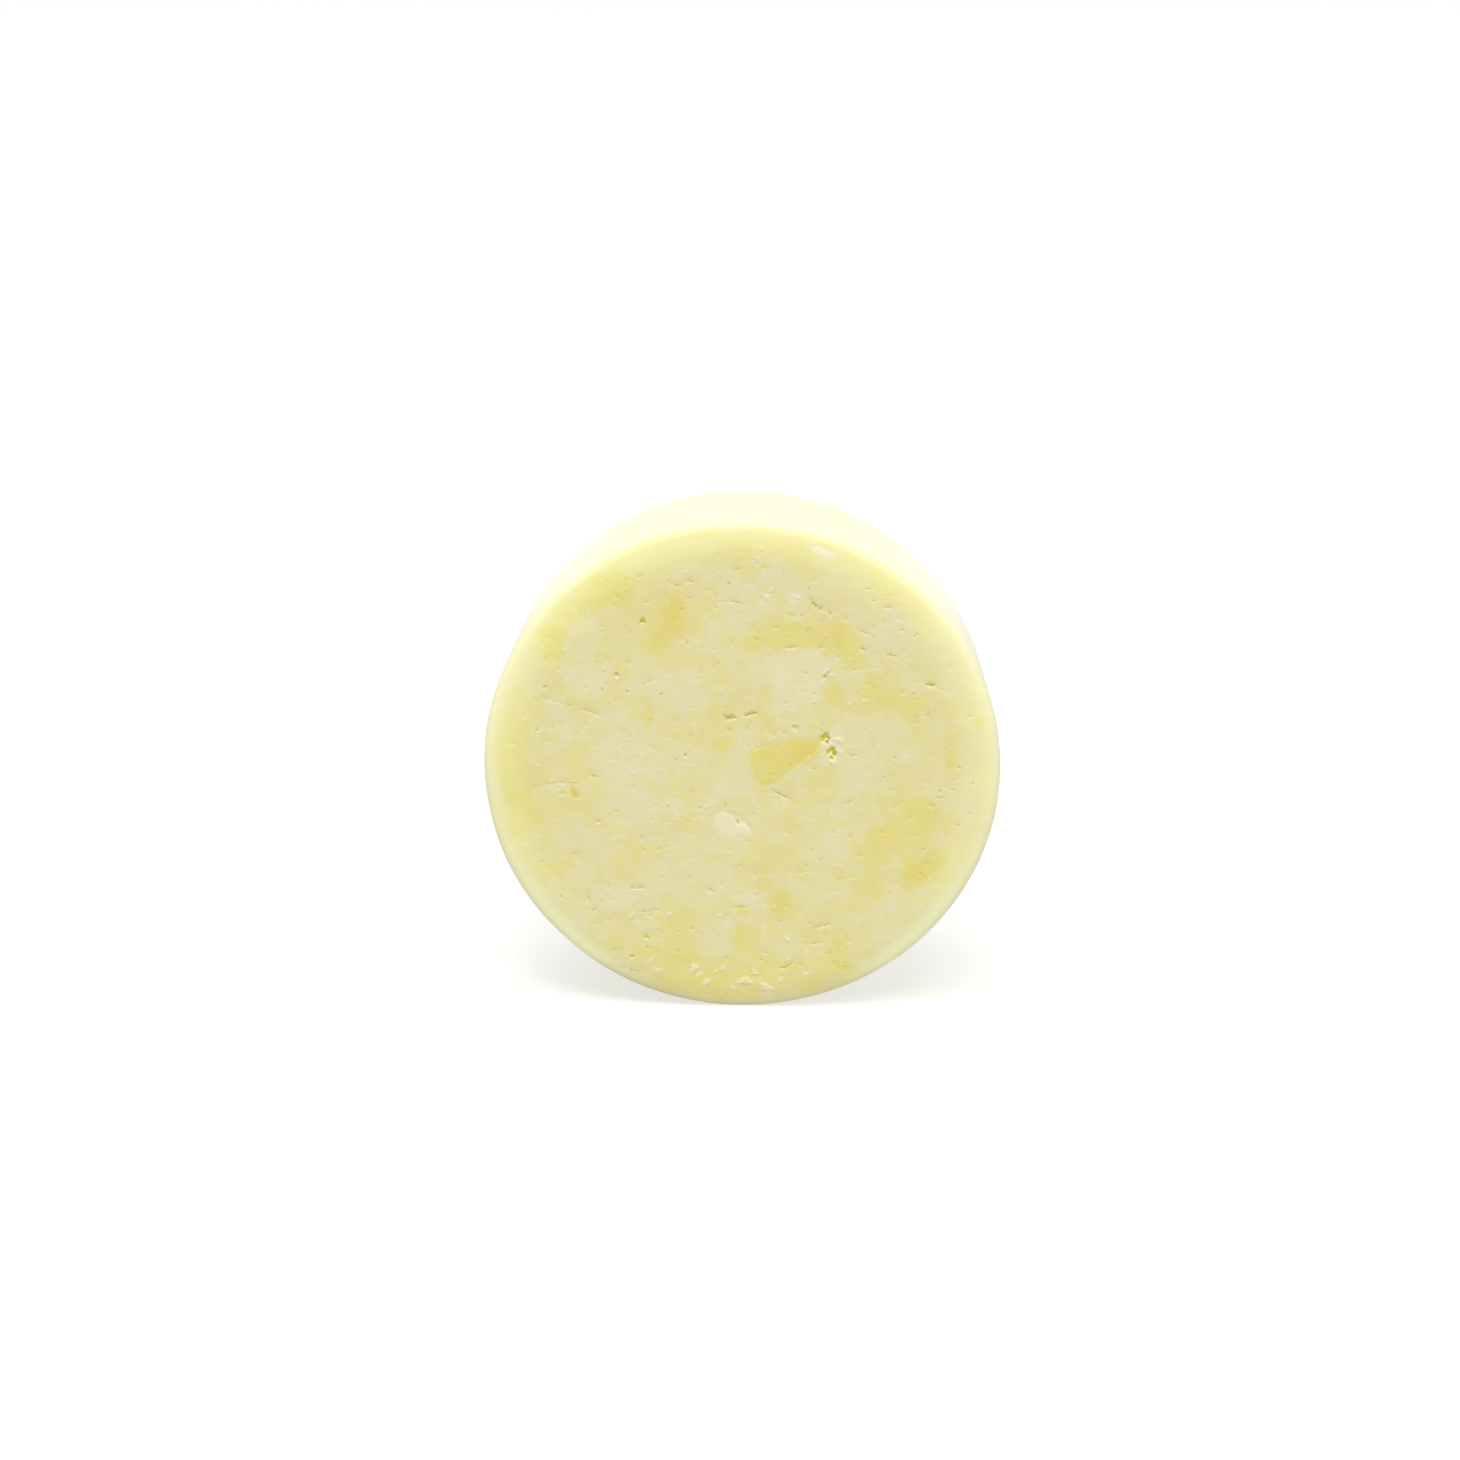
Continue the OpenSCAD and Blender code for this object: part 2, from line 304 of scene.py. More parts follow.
# Loose white crumbs: x, z and size.
CRUMBS = [
    (11.9, 4.6, 0.36), (13.1, 5.2, 0.46), (12.3, 2.0, 0.46), (13.2, 3.6, 0.4), (11.0, 3.2, 0.3),
    (3.2, 25.1, 0.42), (3.9, 26.0, 0.3), (7.4, 25.0, 0.32), (2.1, 30.1, 0.42), (1.3, 29.7, 0.3),
    (11.2, 14.9, 0.38), (12.0, 14.4, 0.3), (14.4, 10.3, 0.3), (-22.8, -1.0, 0.28), (-25.6, -0.9, 0.28),
    (9.8, 10.7, 0.28), (16.4, 10.8, 0.28), (-14.4, 0.4, 0.26), (-12.5, -27.4, 0.4), (-11.6, -29.0, 0.42),
    (-6.6, -28.7, 0.6), (-4.9, -30.9, 0.5), (0.5, -30.6, 0.66), (3.6, -31.6, 0.7), (-2.6, -28.6, 0.34),
    (-5.9, -29.7, 0.36), (1.9, -29.2, 0.4), (5.4, -30.5, 0.34), (-1.2, -31.7, 0.36), (6.6, -27.2, 0.3),
    (9.0, -29.4, 0.34), (6.3, -24.1, 0.36), (-9.8, -20.4, 0.34), (-15.2, -20.8, 0.36), (-3.0, -20.6, 0.3),
]

# Cracks of the cut face: x, z of each end, width and depth.
CRACKS = [
    (-9.9, 27.4, -7.4, 26.4, 0.10, 0.12),
    (-1.6, 28.7, -0.2, 28.6, 0.11, 0.12),
    (-3.0, 24.1, 0.4, 23.9, 0.10, 0.14),
    (5.4, 22.8, 9.4, 23.0, 0.10, 0.09),
    (8.6, 25.2, 12.4, 22.6, 0.10, 0.17),
    (5.6, 18.0, 7.6, 18.3, 0.11, 0.14),
    (9.9, 17.9, 11.3, 18.2, 0.11, 0.14),
    (15.6, 18.2, 16.9, 17.8, 0.11, 0.15),
    (18.6, 17.4, 20.9, 16.9, 0.11, 0.15),
    (18.2, 23.6, 20.0, 23.4, 0.10, 0.11),
    (24.2, 13.1, 25.9, 13.0, 0.14, 0.18),
    (24.6, 8.4, 24.9, 9.4, 0.10, 0.11),
    (-2.6, 8.6, -0.4, 8.4, 0.14, 0.22),
    (0.0, 8.5, 2.6, 9.1, 0.14, 0.22),
    (-7.9, 2.9, -7.2, 2.9, 0.14, 0.17),
    (3.9, -1.9, 6.9, -3.4, 0.12, 0.15),
    (-1.4, -5.6, 1.6, -7.4, 0.10, 0.15),
    (-15.6, -16.9, -12.8, -16.7, 0.11, 0.14),
    (-14.6, -20.3, -10.6, -19.8, 0.10, 0.14),
    (9.7, -22.6, 12.6, -21.9, 0.11, 0.15),
    (4.9, -28.6, 7.4, -27.6, 0.11, 0.14),
    (-17.9, -28.0, -13.2, -29.4, 0.11, 0.14),
    (-22.0, 9.4, -18.4, 8.2, 0.10, 0.12),
    (-20.6, 0.2, -18.6, -0.4, 0.10, 0.12),
    (17.2, 5.0, 17.8, 3.6, 0.10, 0.12),
    (14.2, 3.2, 15.6, 3.0, 0.10, 0.12),
    (25.9, -3.0, 27.4, -2.9, 0.10, 0.12),
    (-27.8, 10.2, -25.2, 10.6, 0.10, 0.12),
    (-24.6, -1.3, -21.6, -1.5, 0.10, 0.12),
    (-5.0, -16.4, -3.4, -17.2, 0.10, 0.12),
    (-1.8, -19.8, 1.6, -19.4, 0.10, 0.12),
    (8.4, -25.0, 11.6, -24.6, 0.10, 0.12),
    (13.6, -4.4, 15.6, -3.4, 0.10, 0.11),
    (15.2, 20.6, 17.4, 19.8, 0.10, 0.11),
    (-21.4, -16.8, -20.6, -19.4, 0.10, 0.11),
    (-13.4, 12.6, -11.0, 13.6, 0.10, 0.11),
]
# Pits: x, z, radius and depth.
PITS = [
    (11.3, 5.7, 0.5, 0.48),
    (10.9, 5.2, 0.34, 0.36),
    (11.5, 4.9, 0.26, 0.42),
    (12.2, 3.8, 0.42, 0.48),
    (11.7, 3.5, 0.3, 0.36),
    (12.5, 3.2, 0.34, 0.48),
    (12.1, 2.6, 0.24, 0.30),
    (-13.0, 21.6, 0.34, 0.36),
    (-16.6, 14.2, 0.26, 0.30),
    (7.2, 6.9, 0.42, 0.2),
    (1.4, 8.9, 0.28, 0.24),
    (-1.2, 8.5, 0.26, 0.24),
    (11.1, 14.1, 0.24, 0.24),
    (-15.2, -27.0, 0.26, 0.24),
    (-13.2, -24.0, 0.3, 0.18),
    (25.0, 13.0, 0.3, 0.24),
    (-26.1, 12.4, 0.3, 0.18),
    (-15.2, 11.8, 0.22, 0.18),
]

# The small marks that a seeded rule strews over the cut face: how many, how far out and how large.
# A crack's slope is the spread of its angle to the horizontal, in radians.
STRAY_CRACKS = 330
STRAY_PITS = 70
STRAY_CRUMBS = 110
STRAY_REACH = 32
PIT_REACH = 32.5
CRACK_SLOPE = 0.4
CRACK_LENGTHS = (0.25, 1.4)
CRACK_WIDTHS = (0.07, 0.11)
CRACK_DEPTHS = (0.04, 0.13)
PIT_RADII = (0.12, 0.22)
PIT_DEPTHS = (0.06, 0.16)
CRUMB_SIZES = (0.12, 0.26)


def strewn(rng, reach):
    """A random place in a disc."""
    r, turn = reach * math.sqrt(rng.random()), rng.random() * math.tau
    return r * math.cos(turn), r * math.sin(turn)


def stray_marks():
    """Small random cracks, pits and crumbs, in the same terms as the listed ones."""
    rng = np.random.default_rng(11)
    cracks, pits, crumbs = [], [], []
    for _ in range(STRAY_CRACKS):
        x, z = strewn(rng, STRAY_REACH)
        slope = rng.normal(0, CRACK_SLOPE)
        half = rng.uniform(*CRACK_LENGTHS) / 2
        reach = (half * math.cos(slope), half * math.sin(slope))
        width, depth = rng.uniform(*CRACK_WIDTHS), rng.uniform(*CRACK_DEPTHS)
        cracks.append((x - reach[0], z - reach[1], x + reach[0], z + reach[1], width, depth))
    for _ in range(STRAY_PITS):
        place = strewn(rng, PIT_REACH)
        pits.append((*place, rng.uniform(*PIT_RADII), rng.uniform(*PIT_DEPTHS)))
    for _ in range(STRAY_CRUMBS):
        crumbs.append((*strewn(rng, STRAY_REACH), rng.uniform(*CRUMB_SIZES)))
    return cracks, pits, crumbs


stray_cracks, stray_pits, stray_crumbs = stray_marks()
ALL_CRACKS = CRACKS + stray_cracks
ALL_PITS = PITS + stray_pits
ALL_CRUMBS = CRUMBS + stray_crumbs

# How a crack bends over its whole length, as a share of it, and wanders along it, in mm.
CRACK_BEND = 0.12
CRACK_WANDER = 0.07
# Over how many mm the soap on one side of a crack has sunk.
LEDGE_REACH = 0.45
# How uneven a lump's edge is: share of its radius, and number of bumps round it.
LUMP_BUMPS = (0.26, 3)
LUMP_NICKS = (0.18, 5)
# Where a lump's flat middle ends and where its slope ends, as shares of its radius.
LUMP_SLOPE = (0.55, 1.1)


def crack_shape(points, crack):
    """How deep in a crack each 2-D point lies, 0 to 1, and how far it is on the sunk side of it.
    The crack wanders and thins at its ends; its own place decides which way."""
    start, end, width = np.array(crack[0:2]), np.array(crack[2:4]), crack[4]
    along = end - start
    length = np.linalg.norm(along)
    t = (points - start) @ along / length**2
    side = (points - start) @ np.array([-along[1], along[0]]) / length
    bend = CRACK_BEND * length * np.sin(math.pi * t) * math.sin(37 * start[0])
    wander = CRACK_WANDER * np.sin(9 * t * length + 5 * start[1])
    taper = np.clip(1 - (2 * t - 1) ** 2, 0, 1) ** 0.5
    reach = width * np.maximum(taper, 1e-3)
    off = side - bend - wander
    within = (t > 0) & (t < 1)
    groove = np.where(within, np.exp(-((off / reach) ** 2)) * taper, 0)
    ledge = np.where(within & (off > 0), np.exp(-off / LEDGE_REACH) * taper, 0)
    return groove, ledge


def lump_shape(points, lump, lobes=1.0):
    """How far inside a pit or crumb each 2-D point lies, 0 to 1; its edge is uneven."""
    away = points - np.array(lump[0:2])
    turn = np.arctan2(away[:, 1], away[:, 0])
    bumps = LUMP_BUMPS[0] * np.sin(LUMP_BUMPS[1] * turn + 7 * lump[0])
    bumps = bumps + LUMP_NICKS[0] * np.sin(LUMP_NICKS[1] * turn + 3 * lump[1])
    edge = lump[2] * (1 + lobes * bumps)
    return 1 - smooth(*LUMP_SLOPE, np.linalg.norm(away, axis=1) / edge)


# ---------------------------------------------------------------- points of the two faces
TURNS = np.arange(RING_COUNT) * math.tau / RING_COUNT
AROUND = np.stack([np.cos(TURNS), np.sin(TURNS)], 1)
# The grid of a face: how much each point is moved, as a share of the step,
# and how far it stays from the rim, as a share of the step, and from an outline, in mm.
GRID_JITTER = 0.22
RIM_GAP = 0.6
OUTLINE_GAP = 0.1
# How far the finer mesh reaches past a crack or a lump, as a multiple of its width or size.
CRACK_MARGIN = 2.6
LUMP_MARGIN = 1.5
# Points that are nearer than this are one point to the triangulation.
MERGE_GAP = 1e-7


def grid_points(step, reach, seed):
    """A jittered grid over a disc, whose odd rows are moved by half a step."""
    rng = np.random.default_rng(seed)
    ticks = np.arange(-reach, reach, step)
    x, z = np.meshgrid(ticks, ticks)
    x = x + (np.arange(len(ticks)) % 2)[:, None] * step / 2
    points = np.stack([x.ravel(), z.ravel()], 1)
    points += rng.uniform(-GRID_JITTER, GRID_JITTER, points.shape) * step
    return points[np.linalg.norm(points, axis=1) < reach]


def near_marks(points):
    """True for points within reach of a crack, a pit or a crumb, where the mesh is finer."""
    close = np.zeros(len(points), bool)
    for x0, z0, x1, z1, width, _ in ALL_CRACKS:
        start, along = np.array([x0, z0]), np.array([x1 - x0, z1 - z0])
        t = np.clip((points - start) @ along / (along @ along), 0, 1)
        away = np.linalg.norm(points - start - t[:, None] * along, axis=1)
        close |= away < CRACK_MARGIN * width
    for x, z, size, *_ in ALL_PITS + ALL_CRUMBS:
        close |= np.linalg.norm(points - np.array([x, z]), axis=1) < LUMP_MARGIN * size
    return close


def inner_points(rings, step, fine):
    """The points of a face between its outlines."""
    reach = FLAT_R - RIM_GAP * step
    inner = grid_points(step, reach, 3)
    if fine:
        marks = grid_points(FINE_STEP, reach, 4)
        inner = np.vstack([inner[~near_marks(inner)], marks[near_marks(marks)]])
    clear = np.ones(len(inner), bool)
    for ring in rings:
        close = np.flatnonzero(near_box(inner, ring, 1.0))
        clear[close] &= np.abs(inside_distance(inner[close], ring)) > OUTLINE_GAP
    return inner[clear]


def triangulated(chips, step, fine):
    """Points, triangles, their owners, rim and rings of a face.
    A triangle's owner is the number of the ring it lies in, or -1 for the paste."""
    outline_step = OUTLINE_STEP if fine else 2 * OUTLINE_STEP
    rings = [resampled(r, outline_step) for rs in chips.values() for r in rs]
    blocks = [FLAT_R * AROUND] + rings
    points = np.vstack(blocks + [inner_points(rings, step, fine)])
    faces, start = [], 0
    for block in blocks:
        faces.append(list(range(start, start + len(block))))
        start += len(block)
    out = delaunay_2d_cdt([Vector(p) for p in points], [], faces, 0, MERGE_GAP, True)
    made, triangles, came_from, in_faces = out[0], out[2], out[3], out[5]
    if len(made) != len(points) or any(len(c) != 1 for c in came_from):
        raise RuntimeError("the triangulation moved a point")
    order = np.array([c[0] for c in came_from])
    triangles = order[np.array(triangles)]
    owner = np.array([max(f) - 1 if f else -2 for f in in_faces])
    return points, triangles[owner > -2], owner[owner > -2], faces[0], faces[1:]


# ---------------------------------------------------------------- the skin
# A point whose outward direction is this near to the puck's axis lies on a face.
FACING = 0.999


def edge_profile():
    """Radius, y and outward direction of the skin's section from the front face to the back one.
    Each rounded edge is a cubic curve that leaves its face and meets the side without a kink."""
    slope = math.atan(2 * SHOULDER_DROP / (FLAT_R - SHOULDER_R))
    start = np.array([FLAT_R, HALF_T - SHOULDER_DROP])
    end = np.array([PUCK_R, HALF_T - EDGE_DROP])
    pull = start + EDGE_PULL * np.array([math.cos(slope), -math.sin(slope)])
    lift = end + np.array([0.0, EDGE_LIFT])
    rows = []
    for t in np.arange(1, EDGE_STEPS + 1) / EDGE_STEPS:
        u = 1 - t
        spot = u**3 * start + 3 * u * u * t * pull + 3 * u * t * t * lift + t**3 * end
        run = u * u * (pull - start) + 2 * u * t * (lift - pull) + t * t * (end - lift)
        out = np.array([-run[1], run[0]]) / np.linalg.norm(run)
        rows.append((*spot, *out))
    middle = np.linspace(HALF_T - EDGE_DROP, EDGE_DROP - HALF_T, WALL_STEPS)[1:-1]
    front = [(r, -y, out_r, -out_y) for r, y, out_r, out_y in rows]
    return np.array(front + [(PUCK_R, -y, 1.0, 0.0) for y in middle] + rows[::-1])


def ring_at(radius, y):
    """A ring round the puck's axis."""
    return np.stack([radius * AROUND[:, 0], np.full(RING_COUNT, y), radius * AROUND[:, 1]], 1)


def lifted(flat_points, side):
    """The points of a face in space; it bends down towards its rim."""
    reach = np.linalg.norm(flat_points, axis=1) - SHOULDER_R
    drop = SHOULDER_DROP * (np.maximum(reach, 0) / (FLAT_R - SHOULDER_R)) ** 2
    return np.stack([flat_points[:, 0], side * (HALF_T - drop), flat_points[:, 1]], 1)


def strips(rows):
    """The triangles between rows of point numbers that go round the puck."""
    made = []
    for one, two in zip(rows, rows[1:]):
        one_next, two_next = np.roll(one, -1), np.roll(two, -1)
        made += [np.stack([one, two_next, one_next], 1), np.stack([one, two, two_next], 1)]
    return np.vstack(made)


def skin():
    """The outer surface: its points, their outward directions, its triangles, each one's owner
    and the chips' rings as point numbers."""
    front, front_tris, front_owner, front_rim, front_rings = triangulated(FRONT_CHIPS, FRONT_STEP, True)
    back, back_tris, back_owner, back_rim, back_rings = triangulated(BACK_CHIPS, BACK_STEP, False)
    profile = edge_profile()
    first_back, first_rim = len(front), len(front) + len(back)
    side_points = [ring_at(r, y) for r, y, _, _ in profile]
    points = np.vstack([lifted(front, -1), lifted(back, 1)] + side_points)
    front_out = np.tile([0.0, -1.0, 0.0], (len(front), 1))
    back_out = np.tile([0.0, 1.0, 0.0], (len(back), 1))
    out = np.vstack([front_out, back_out] + [ring_at(out_r, out_y) for _, _, out_r, out_y in profile])
    rows = [first_rim + k * RING_COUNT + np.arange(RING_COUNT) for k in range(len(profile))]
    side_tris = strips([np.array(front_rim)] + rows + [first_back + np.array(back_rim)])
    back_owner = np.where(back_owner >= 0, back_owner + len(front_rings), -1)
    owner = np.concatenate([front_owner, back_owner, np.full(len(side_tris), -1)])
    triangles = np.vstack([front_tris, first_back + back_tris[:, ::-1], side_tris])
    rings = front_rings + [[first_back + i for i in r] for r in back_rings]
    return points, out, triangles, owner, rings


points, outward, triangles, owner, rings = skin()
named_rings = [(n, r) for chips in (FRONT_CHIPS, BACK_CHIPS) for n, rs in chips.items() for r in rs]
on_front = outward[:, 1] < -FACING
on_back = outward[:, 1] > FACING
on_face = on_front | on_back
face_xz = points[:, [0, 2]]
radius = np.linalg.norm(face_xz, axis=1)


# ---------------------------------------------------------------- colour fields and relief
# A chip whose border fades over this many mm or less has a crisp border, with a fine crease
# along it that reaches this far.
CRISP = 0.5
CREASE_REACH = 0.16
# How far a chip's border wanders, as a share of how far it fades: by two noises for a soft
# border, and by the finer one alone for a crisp one.
SOFT_WARP = (2.0, 0.9)
CRISP_WARP = 0.25
# How far the border of a cloud wanders, in mm, and where its colour is full and where it ends,
# as shares of the cloud's half length and width.
CLOUD_WARP = 2.2
CLOUD_FADE = (0.45, 1.25)


def chip_fields():
    """How amber, ivory and accented each skin point is, 0 to 1,
    and how near it is to a crisp border."""
    fields = {"amber": np.zeros(len(points)), "ivory": np.zeros(len(points))}
    accent = np.zeros(len(points))
    crease = np.zeros(len(points))
    warp = noise_pair(points, 1.6, 21)
    fine_warp = noise_pair(points, 0.6, 23)
    for name, shape in named_rings:
        strength, fade, extra = LOOKS.get(name, DEFAULT_LOOK)
        side = on_back if name.startswith("back_") else on_front
        close = np.flatnonzero(side & near_box(face_xz, shape, 3 * fade + 1))
        if fade > CRISP:
            soft, fine = SOFT_WARP
            moved = face_xz[close] + soft * fade * warp[close] + fine * fade * fine_warp[close]
        else:
            moved = face_xz[close] + CRISP_WARP * fade * fine_warp[close]
            line = np.exp(-((inside_distance(face_xz[close], shape) / CREASE_REACH) ** 2))
            crease[close] = np.maximum(crease[close], line)
        amount = strength * smooth(-fade, fade, inside_distance(moved, shape))
        kind = "amber" if "amber" in name else "ivory"
        fields[kind][close] = covered(fields[kind][close], amount)
        accent[close] = np.maximum(accent[close], extra * amount)
    return fields["amber"], fields["ivory"], accent, crease


def cloud_field(clouds):
    """Soft-edged ovals on the cut face; each is x, z, half length, half width, turn and strength."""
    total = np.zeros(len(points))
    front = np.flatnonzero(on_front)
    warp = noise_pair(points[front], 2.6, 41) + 0.5 * noise_pair(points[front], 0.9, 43)
    moved = face_xz[front] + CLOUD_WARP * warp
    for x, z, length, width, turn, strength in clouds:
        along, across = turned(moved - np.array([x, z]), math.radians(turn))
        amount = strength * (1 - smooth(*CLOUD_FADE, np.hypot(along / length, across / width)))
        total[front] = covered(total[front], amount)
    return total


# How much longer and narrower than round a crumb is, how far it is turned at most, in radians,
# how uneven its edge is, and how far it stands up, as a share of its size.
CRUMB_LONG = 1.7
CRUMB_NARROW = 1.15
CRUMB_TURN = 0.9
CRUMB_LOBES = 0.9
CRUMB_RISE = 0.16
# How deep the sunk side of a crack is, as a share of the crack's depth.
LEDGE_SHARE = 0.45
# The depths in mm at which a crack and a pit have their full colour.
FULL_CRACK = 0.2
FULL_PIT = 0.5


def squeezed(spots, crumb):
    """The points in a frame where the long, turned crumb is round."""
    turn = CRUMB_TURN * math.sin(17 * crumb[0] + 5 * crumb[1])
    along, across = turned(spots - np.array(crumb[0:2]), turn)
    return np.stack([along / CRUMB_LONG + crumb[0], across * CRUMB_NARROW + crumb[1]], 1)


def mark_fields():
    """Depth in mm of the marks at each skin point, and how far each is in a crack, pit or crumb."""
    depth = np.zeros(len(points))
    crack, pit, crumb = np.zeros(len(points)), np.zeros(len(points)), np.zeros(len(points))
    for c in ALL_CRACKS:
        box = np.array([[c[0], c[1]], [c[2], c[3]]])
        close = np.flatnonzero(on_front & near_box(face_xz, box, 1.5))
        groove, ledge = crack_shape(face_xz[close], c)
        depth[close] = np.maximum(depth[close], c[5] * np.maximum(groove, LEDGE_SHARE * ledge))
        crack[close] = np.maximum(crack[close], groove * min(1, c[5] / FULL_CRACK))
    for p in ALL_PITS:
        close = np.flatnonzero(on_front & near_box(face_xz, np.array([p[0:2]]), 2 * p[2]))
        shape = lump_shape(face_xz[close], p)
        depth[close] = np.maximum(depth[close], p[3] * shape)
        pit[close] = np.maximum(pit[close], shape * min(1, p[3] / FULL_PIT))
    for c in ALL_CRUMBS:
        close = np.flatnonzero(on_front & near_box(face_xz, np.array([c[0:2]]), 3 * c[2]))
        shape = lump_shape(squeezed(face_xz[close], c), c, lobes=CRUMB_LOBES)
        depth[close] -= CRUMB_RISE * c[2] * shape
        crumb[close] = np.maximum(crumb[close], shape)
    return depth, crack, pit, crumb


amber, ivory, accent, crease = chip_fields()
amber = covered(amber, cloud_field(AMBER_BLEED))
ivory = covered(ivory, cloud_field(PALE_CLOUDS))
mark_depth, in_crack, in_pit, in_crumb = mark_fields()

# Depths in mm: of two sizes of wave and of grain, of the lines that cutting has dragged, and of
# the crease along a crisp chip, and what is taken off them all so that the highest places are flush.
WAVES = (0.10, 0.05)
GRAINS = (0.020, 0.007)
DRAG = 0.012
CREASE_DEPTH = 0.04
LEVEL = 0.03
# Over how many mm marks grow shallow towards the rim, and the share of them that is left there.
SETTLE_WIDTH = 2.5
SETTLED = 0.3


def relief():
    """How far each skin point lies below the ideal surface, in mm: never above it."""
    waves = WAVES[0] * value_noise(points, 9, 31) + WAVES[1] * value_noise(points, 3.2, 32)
    grain = GRAINS[0] * value_noise(points, 1.1, 33) + GRAINS[1] * value_noise(points, 0.5, 34)
    drag = DRAG * value_noise(points, 0.45, 35, stretch=(5, 1, 1))
    settle = 1 - smooth(FLAT_R - SETTLE_WIDTH, FLAT_R, radius)
    depth = waves + grain + np.where(on_face, drag * settle, 0)
    marks = (CREASE_DEPTH * crease + mark_depth) * settle.clip(SETTLED)
    return np.maximum(depth + marks - LEVEL, 0)


sunk = points - outward * relief()[:, None]
sunk[:, 2] = np.maximum(sunk[:, 2] + CENTRE_Z, 0.0)


def skin_normals():
    """The skin's smooth normals, from the triangles round each point weighted by their areas."""
    a, b, c = (sunk[triangles[:, k]] for k in range(3))
    face = np.cross(b - a, c - a)
    total = np.zeros_like(sunk)
    for k in range(3):
        np.add.at(total, triangles[:, k], face)
    return total / np.linalg.norm(total, axis=1)[:, None]


normals = skin_normals()


# ---------------------------------------------------------------- colour towards the rim, with painted glow and shade
# The yellow rim zone is painted light, a glow of light scattered through the soap near its edge.
# It begins this many mm inside FLAT_R and is full this many mm outside it.
RIM_ZONE = (7.0, 1.0)
RIM_WANDER = 1.6
# Where the pale edge, a painted glow of light through the thin edge, begins and where it is full,
# as shares of the puck's radius.
EDGE_ZONE = (0.915, 0.975)


def rim_fields():
    """How strongly each skin point has the painted glow of the rim zone and of the pale edge, the
    tone of the side, painted paler where it faces the light above, its back part, and the painted
    contact shade at the foot. Up is 1 towards the top and -1 towards the foot."""
    up = points[:, 2] / radius.clip(1)
    sideways = np.abs(points[:, 0]) / radius.clip(1)
    past_edge = 1 - np.abs(outward[:, 1])

    # The rim zone is painted glow of light through the soap's edge; it is weaker towards the foot,
    # where less light falls.
    wander = RIM_WANDER * value_noise(points, 4, 51)
    rim = smooth(FLAT_R - RIM_ZONE[0], FLAT_R + RIM_ZONE[1], radius + wander)
    rim = np.where(on_face, rim, 1.0) * smooth(-1.05, -0.3, up)

    # The pale edge is painted light, a glow through the thin edge. It is missing at the top and at the
    # foot, and wider and stronger low down, where it lightens the shade of the bending shoulder.
    low_side = smooth(-0.2, -0.6, up)
    edge = smooth(*EDGE_ZONE, radius / PUCK_R + 0.02 * low_side)
    edge = np.where(on_face, edge, 1.0) * smooth(0.95, 0.35, up)
    edge *= smooth(-0.96, -0.78, up) * (0.6 + 0.3 * low_side)

    # The side is painted paler away from the floor, where light falls from above, and its back part
    # is paler to the left and right.
    painted_light_from_above = 0.4 + 0.6 * smooth(-0.85, -0.2, outward[:, 2])
    side = np.where(on_face, 0.0, painted_light_from_above * smooth(0.08, 0.6, past_edge))
    backward = side * smooth(-1.6 * HALF_T, 0.5 * HALF_T, points[:, 1]) * smooth(0.35, 0.75, sideways)

    # The painted contact shade is a dark line at the foot, mostly left of the middle, where the puck
    # meets the floor.
    contact_shade = np.where(on_face, 0.0, smooth(0.72, 0.88, -up) * smooth(0.2, 0.45, past_edge))
    contact_shade *= smooth(6, -6, points[:, 0])
    return {"contact_shade": contact_shade, "rim": rim, "side": side, "backward": backward, "edge": edge}


# What the materials read at each skin point.
FIELDS = {
    "amber": amber,
    "accent": accent,
    "ivory": ivory,
    "crack": in_crack,
    "pit": in_pit,
    "crumb": in_crumb,
    **rim_fields(),
}


# ---------------------------------------------------------------- pieces
def wall_triangles(top, low):
    """The wall between a ring and its copy at the pocket's floor, as point numbers."""
    next_top, next_low = np.roll(top, -1), np.roll(low, -1)
    return np.vstack([np.stack([top, low, next_low], 1), np.stack([top, next_low, next_top], 1)])


def floor_triangles(ring):
    """The floor of a pocket, as places in its ring."""
    corners = [Vector(p) for p in face_xz[ring]]
    return np.array(delaunay_2d_cdt(corners, [], [list(range(len(ring)))], 1, MERGE_GAP)[2])


def flat_normals(verts, faces):
    """The normal of each triangle, once for each of its corners."""
    a, b, c = (verts[faces[:, k]] for k in range(3))
    across = np.cross(b - a, c - a)
    across /= np.linalg.norm(across, axis=1)[:, None] + 1e-12
    return np.repeat(across, 3, axis=0)


